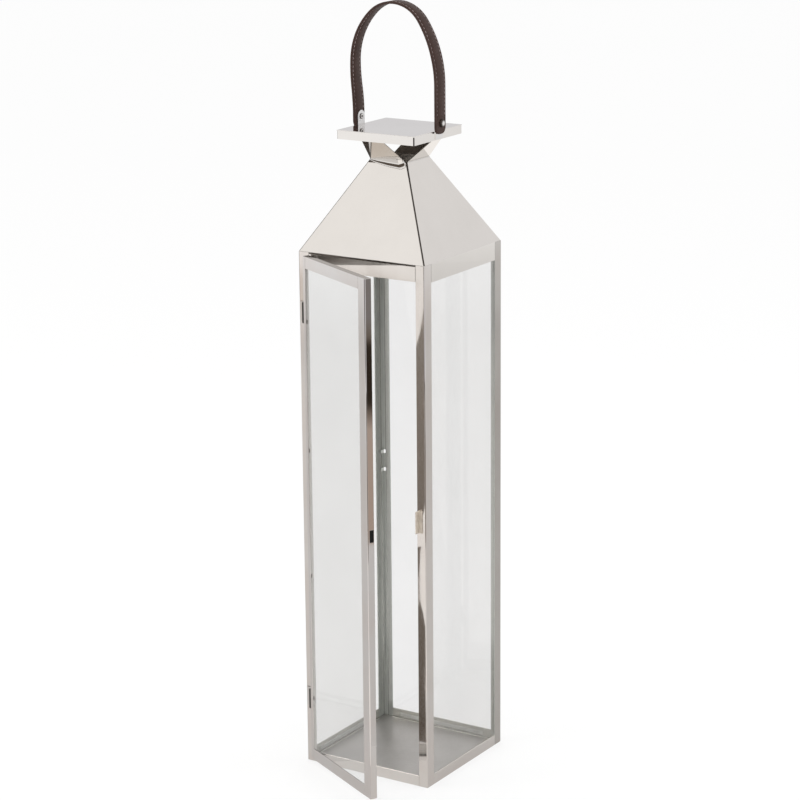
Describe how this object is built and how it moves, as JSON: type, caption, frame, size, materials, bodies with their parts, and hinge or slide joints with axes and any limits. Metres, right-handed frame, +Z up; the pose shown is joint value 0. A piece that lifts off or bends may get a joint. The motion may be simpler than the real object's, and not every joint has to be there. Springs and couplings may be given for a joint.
{
  "type": "candle lantern",
  "caption": "Tall square candle lantern of polished sheet steel with glass sides, a hinged glazed door, a vented pyramid roof with flat cap and a leather strap handle.",
  "frame": {"origin": "on the floor under the middle of the square body", "axes": "+Z up, door on the -Y face with its hinges on the -X side, handle arch in the XZ plane"},
  "size_m": [0.18, 0.2623, 0.9599],
  "materials": {
    "polished_steel": "mirror polished sheet with faint waves and handling marks",
    "floor_steel": "dull unpolished sheet",
    "clear_glass": "clear float glass with green-grey edges",
    "sealant": "smeared translucent silicone",
    "strap_leather": "dark brown grained leather with stitched edges",
    "bright_nickel": "bright nickel plate",
    "hinge_steel": "darkened drawn steel",
    "black_magnet": "matt black ferrite"
  },
  "bodies": {
    "lantern": {"sill_front": "polished_steel", "bottom_rail_left": "polished_steel", "bottom_rail_right": "polished_steel", "bottom_rail_back": "polished_steel", "lintel_front": "polished_steel", "post_front_left": "polished_steel", "post_front_right": "polished_steel", "post_back_left": "polished_steel", "post_back_right": "polished_steel", "roof_panel_front": "polished_steel", "roof_panel_right": "polished_steel", "roof_panel_back": "polished_steel", "roof_panel_left": "polished_steel", "cap_tray": "polished_steel", "handle_ear_left": "polished_steel", "handle_ear_right": "polished_steel", "catch_strike": "polished_steel", "floor_plate": "floor_steel", "glass_left": "clear_glass", "glass_right": "clear_glass", "glass_back": "clear_glass", "sealant_left": "sealant", "sealant_right": "sealant", "sealant_back": "sealant", "handle_rivet_left": "bright_nickel", "handle_rivet_right": "bright_nickel", "upper_hinge_post_leaf": "hinge_steel", "upper_hinge_pin": "hinge_steel", "lower_hinge_post_leaf": "hinge_steel", "lower_hinge_pin": "hinge_steel"},
    "door": {"door_hinge_stile": "polished_steel", "door_latch_stile": "polished_steel", "door_top_rail": "polished_steel", "door_bottom_rail": "polished_steel", "door_glass": "clear_glass", "catch_magnet": "black_magnet", "upper_hinge_door_leaf": "hinge_steel", "lower_hinge_door_leaf": "hinge_steel"},
    "handle": {"strap_outer_ply": "strap_leather", "strap_inner_ply": "strap_leather"}
  },
  "joints": [
    {"name": "door_swing", "type": "hinge", "parent": "lantern", "child": "door", "pos_m": [-0.0785, -0.0978, 0.0758], "axis": [0, 0, -1], "range_deg": [-28, 142]},
    {"name": "handle_swing", "type": "hinge", "parent": "lantern", "child": "handle", "pos_m": [0, 0, 0.8173], "axis": [1, 0, 0], "range_deg": [-135, 135]}
  ]
}
